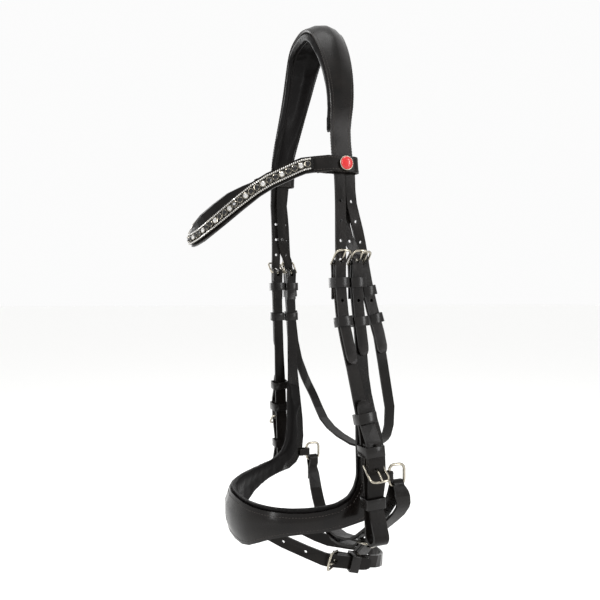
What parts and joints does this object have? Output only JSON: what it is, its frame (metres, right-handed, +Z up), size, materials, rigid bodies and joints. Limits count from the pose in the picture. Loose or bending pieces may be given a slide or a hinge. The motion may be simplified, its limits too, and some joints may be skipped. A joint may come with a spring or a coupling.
{
  "type": "snaffle bridle",
  "caption": "Padded horse bridle with a crystal browband, buckled cheekpieces, throatlash, wide noseband with jaw strap, and flash strap; no bit or reins.",
  "frame": {"origin": "underside of the padded crown in the middle, where it rests on the poll", "axes": "+Z up, +X to the horse's left (near) side, -Y towards the nose"},
  "size_m": [0.2886, 0.2093, 0.6003],
  "materials": {
    "black_bridle_leather": "smooth black bridle leather, satin",
    "black_keeper_leather": "polished black leather loops",
    "black_lining_leather": "soft matt black padded lining",
    "polished_steel": "polished stainless steel",
    "crystal_chain": "clear and black cut stones in metal cups",
    "red_enamel": "plain glossy red"
  },
  "bodies": {
    "straps": {"bit_chape_far": "black_bridle_leather", "bit_chape_near": "black_bridle_leather", "bit_keeper_lower_far": "black_keeper_leather", "bit_keeper_lower_near": "black_keeper_leather", "bit_keeper_upper_far": "black_keeper_leather", "bit_keeper_upper_near": "black_keeper_leather", "cheek_keeper_far": "black_keeper_leather", "cheek_keeper_near": "black_keeper_leather", "cheekpiece_far": "black_bridle_leather", "cheekpiece_near": "black_bridle_leather", "flash_keeper": "black_keeper_leather", "flash_strap": "black_bridle_leather", "headpiece": "black_bridle_leather", "headpiece_padding": "black_lining_leather", "jaw_billet": "black_bridle_leather", "jaw_strap": "black_bridle_leather", "noseband": "black_bridle_leather", "noseband_headstrap": "black_bridle_leather", "noseband_keeper_far": "black_keeper_leather", "noseband_keeper_near": "black_keeper_leather", "noseband_lining": "black_lining_leather", "ring_tab_far": "black_bridle_leather", "ring_tab_near": "black_bridle_leather", "throatlash": "black_bridle_leather", "throatlash_keeper_far": "black_keeper_leather", "throatlash_keeper_near": "black_keeper_leather"},
    "cheek_frame_near": {"cheek_buckle_near": "polished_steel"},
    "cheek_tongue_near": {"cheek_tongue_near": "polished_steel"},
    "noseband_frame_near": {"noseband_buckle_near": "polished_steel"},
    "noseband_tongue_near": {"noseband_tongue_near": "polished_steel"},
    "throatlash_frame_near": {"throatlash_buckle_near": "polished_steel"},
    "throatlash_tongue_near": {"throatlash_tongue_near": "polished_steel"},
    "bit_frame_near": {"bit_buckle_near": "polished_steel"},
    "bit_tongue_near": {"bit_tongue_near": "polished_steel"},
    "cheek_frame_far": {"cheek_buckle_far": "polished_steel"},
    "cheek_tongue_far": {"cheek_tongue_far": "polished_steel"},
    "noseband_frame_far": {"noseband_buckle_far": "polished_steel"},
    "noseband_tongue_far": {"noseband_tongue_far": "polished_steel"},
    "throatlash_frame_far": {"throatlash_buckle_far": "polished_steel"},
    "throatlash_tongue_far": {"throatlash_tongue_far": "polished_steel"},
    "bit_frame_far": {"bit_buckle_far": "polished_steel"},
    "bit_tongue_far": {"bit_tongue_far": "polished_steel"},
    "jaw_frame": {"jaw_buckle": "polished_steel"},
    "jaw_tongue": {"jaw_tongue": "polished_steel"},
    "flash_frame": {"flash_buckle": "polished_steel"},
    "flash_tongue": {"flash_tongue": "polished_steel"},
    "bit_runner_far": {"bit_runner_far": "black_keeper_leather"},
    "bit_runner_near": {"bit_runner_near": "black_keeper_leather"},
    "cheek_runner_far": {"cheek_runner_far": "black_keeper_leather"},
    "cheek_runner_near": {"cheek_runner_near": "black_keeper_leather"},
    "noseband_runner_far": {"noseband_runner_far": "black_keeper_leather"},
    "noseband_runner_near": {"noseband_runner_near": "black_keeper_leather"},
    "throatlash_runner_far": {"throatlash_runner_far": "black_keeper_leather"},
    "throatlash_runner_near": {"throatlash_runner_near": "black_keeper_leather"},
    "ring_near": {"ring_near": "polished_steel"},
    "ring_far": {"ring_far": "polished_steel"},
    "browband": {"browband": "black_bridle_leather", "browband_crystals": "crystal_chain", "browband_button_near": "red_enamel", "browband_button_far": "red_enamel"}
  },
  "joints": [
    {"name": "cheek_frame_hinge_near", "type": "hinge", "parent": "straps", "child": "cheek_frame_near", "pos_m": [0.0904, -0.0239, -0.258], "axis": [0, -1, 0], "range_deg": [-2, 2]},
    {"name": "cheek_tongue_hinge_near", "type": "hinge", "parent": "cheek_frame_near", "child": "cheek_tongue_near", "pos_m": [0.0904, -0.0239, -0.258], "axis": [0, -1, 0], "range_deg": [-1, 1]},
    {"name": "noseband_frame_hinge_near", "type": "hinge", "parent": "straps", "child": "noseband_frame_near", "pos_m": [0.0904, -0.0058, -0.258], "axis": [0, -1, 0], "range_deg": [-2, 2]},
    {"name": "noseband_tongue_hinge_near", "type": "hinge", "parent": "noseband_frame_near", "child": "noseband_tongue_near", "pos_m": [0.0904, -0.0058, -0.258], "axis": [0, -1, 0], "range_deg": [-1, 1]},
    {"name": "throatlash_frame_hinge_near", "type": "hinge", "parent": "straps", "child": "throatlash_frame_near", "pos_m": [0.0778, 0.0076, -0.258], "axis": [0, -0.9787, -0.2055], "range_deg": [-1.5, 1.5]},
    {"name": "throatlash_tongue_hinge_near", "type": "hinge", "parent": "throatlash_frame_near", "child": "throatlash_tongue_near", "pos_m": [0.0778, 0.0076, -0.258], "axis": [0, -0.9787, -0.2055], "range_deg": [-0.5, 0.5]},
    {"name": "bit_frame_hinge_near", "type": "hinge", "parent": "straps", "child": "bit_frame_near", "pos_m": [0.12579, -0.00551, -0.44566], "axis": [-0.0026, 0.9987, 0.0502], "range_deg": [-2, 2]},
    {"name": "bit_tongue_hinge_near", "type": "hinge", "parent": "bit_frame_near", "child": "bit_tongue_near", "pos_m": [0.12579, -0.00551, -0.44566], "axis": [-0.0026, 0.9987, 0.0502], "range_deg": [-1, 1]},
    {"name": "cheek_frame_hinge_far", "type": "hinge", "parent": "straps", "child": "cheek_frame_far", "pos_m": [-0.0904, -0.0213, -0.258], "axis": [0, -1, 0], "range_deg": [-2, 2]},
    {"name": "cheek_tongue_hinge_far", "type": "hinge", "parent": "cheek_frame_far", "child": "cheek_tongue_far", "pos_m": [-0.0904, -0.0213, -0.258], "axis": [0, -1, 0], "range_deg": [-1, 1]},
    {"name": "noseband_frame_hinge_far", "type": "hinge", "parent": "straps", "child": "noseband_frame_far", "pos_m": [-0.0904, -0.0032, -0.258], "axis": [0, -1, 0], "range_deg": [-2, 2]},
    {"name": "noseband_tongue_hinge_far", "type": "hinge", "parent": "noseband_frame_far", "child": "noseband_tongue_far", "pos_m": [-0.0904, -0.0032, -0.258], "axis": [0, -1, 0], "range_deg": [-1, 1]},
    {"name": "throatlash_frame_hinge_far", "type": "hinge", "parent": "straps", "child": "throatlash_frame_far", "pos_m": [-0.106, 0.0006, -0.258], "axis": [0, -0.9982, -0.0599], "range_deg": [-1.5, 1.5]},
    {"name": "throatlash_tongue_hinge_far", "type": "hinge", "parent": "throatlash_frame_far", "child": "throatlash_tongue_far", "pos_m": [-0.106, 0.0006, -0.258], "axis": [0, -0.9982, -0.0599], "range_deg": [-0.5, 0.5]},
    {"name": "bit_frame_hinge_far", "type": "hinge", "parent": "straps", "child": "bit_frame_far", "pos_m": [-0.12579, -0.00552, -0.44566], "axis": [0.0027, 0.9986, 0.0527], "range_deg": [-2, 2]},
    {"name": "bit_tongue_hinge_far", "type": "hinge", "parent": "bit_frame_far", "child": "bit_tongue_far", "pos_m": [-0.12579, -0.00552, -0.44566], "axis": [0.0027, 0.9986, 0.0527], "range_deg": [-1, 1]},
    {"name": "jaw_frame_hinge", "type": "hinge", "parent": "straps", "child": "jaw_frame", "pos_m": [0.044, 0.031, -0.553], "axis": [-0.0462, 0.9976, -0.0525], "range_deg": [-2, 2]},
    {"name": "jaw_tongue_hinge", "type": "hinge", "parent": "jaw_frame", "child": "jaw_tongue", "pos_m": [0.044, 0.031, -0.553], "axis": [-0.0462, 0.9976, -0.0525], "range_deg": [-1, 1]},
    {"name": "flash_frame_hinge", "type": "hinge", "parent": "straps", "child": "flash_frame", "pos_m": [0.064, -0.014, -0.556], "axis": [0.0252, 0.2495, 0.9681], "range_deg": [-2, 2]},
    {"name": "flash_tongue_hinge", "type": "hinge", "parent": "flash_frame", "child": "flash_tongue", "pos_m": [0.064, -0.014, -0.556], "axis": [0.0252, 0.2495, 0.9681], "range_deg": [-1, 1]},
    {"name": "bit_runner_far_slide", "type": "slide", "parent": "straps", "child": "bit_runner_far", "axis": [0.1695, -0.0925, 0.9812], "range_m": [-0.001, 0.004]},
    {"name": "bit_runner_near_slide", "type": "slide", "parent": "straps", "child": "bit_runner_near", "axis": [-0.1691, -0.1125, 0.9792], "range_m": [-0.001, 0.004]},
    {"name": "cheek_runner_far_slide", "type": "slide", "parent": "straps", "child": "cheek_runner_far", "axis": [0.1417, -0.079, 0.9867], "range_m": [-0.003, 0.008]},
    {"name": "cheek_runner_near_slide", "type": "slide", "parent": "straps", "child": "cheek_runner_near", "axis": [-0.1415, -0.0966, 0.9852], "range_m": [-0.003, 0.008]},
    {"name": "noseband_runner_far_slide", "type": "slide", "parent": "straps", "child": "noseband_runner_far", "axis": [0.0656, -0.069, 0.9955], "range_m": [-0.003, 0.008]},
    {"name": "noseband_runner_near_slide", "type": "slide", "parent": "straps", "child": "noseband_runner_near", "axis": [-0.0655, -0.0881, 0.994], "range_m": [-0.003, 0.008]},
    {"name": "throatlash_runner_far_slide", "type": "slide", "parent": "straps", "child": "throatlash_runner_far", "axis": [0.0289, -0.1108, 0.9934], "range_m": [-0.003, 0.008]},
    {"name": "throatlash_runner_near_slide", "type": "slide", "parent": "straps", "child": "throatlash_runner_near", "axis": [-0.0741, -0.2613, 0.9624], "range_m": [-0.003, 0.008]},
    {"name": "ring_hinge_near", "type": "hinge", "parent": "straps", "child": "ring_near", "pos_m": [0.0978, 0.029, -0.467], "axis": [0, 0, 1], "range_deg": [-3, 3]},
    {"name": "ring_hinge_far", "type": "hinge", "parent": "straps", "child": "ring_far", "pos_m": [-0.0978, 0.0215, -0.489], "axis": [0, 0, 1], "range_deg": [-3, 3]},
    {"name": "browband_hinge", "type": "hinge", "parent": "straps", "child": "browband", "pos_m": [0.00065, -0.016, -0.1525], "axis": [0.9943, -0.022, -0.1043], "range_deg": [-4, 4]}
  ]
}
